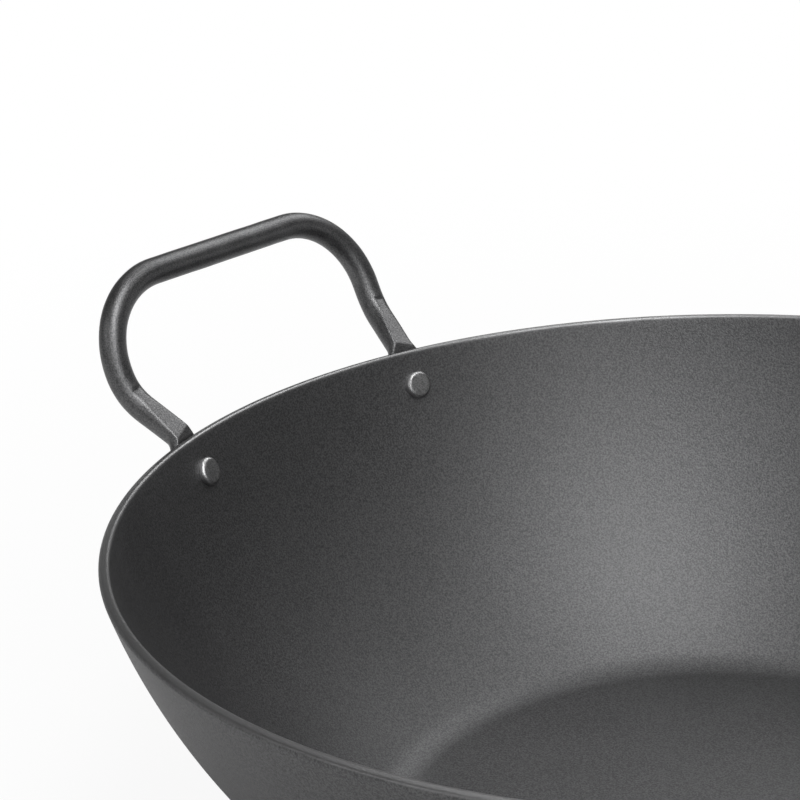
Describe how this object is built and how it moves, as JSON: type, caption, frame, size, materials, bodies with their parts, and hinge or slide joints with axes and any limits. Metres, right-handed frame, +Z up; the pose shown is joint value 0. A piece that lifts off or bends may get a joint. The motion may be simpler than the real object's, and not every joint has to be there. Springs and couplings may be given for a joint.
{
  "type": "kadai",
  "caption": "Deep round iron cooking pan with a flat base, a curved wall, a plain cut rim and two loop handles of bent rod riveted to the wall.",
  "frame": {"origin": "middle of the underside of the flat base", "axes": "+X from the left handle to the right handle, +Z up out of the bowl"},
  "size_m": [0.3766, 0.3196, 0.1362],
  "materials": {
    "bowl_iron": "matte",
    "handle_iron": "satin",
    "rivet_iron": "satin"
  },
  "bodies": {
    "root": {"pan_bowl": "bowl_iron", "left_handle": "handle_iron", "right_handle": "handle_iron", "left_front_rivet": "rivet_iron", "left_back_rivet": "rivet_iron", "right_front_rivet": "rivet_iron", "right_back_rivet": "rivet_iron"}
  },
  "joints": []
}
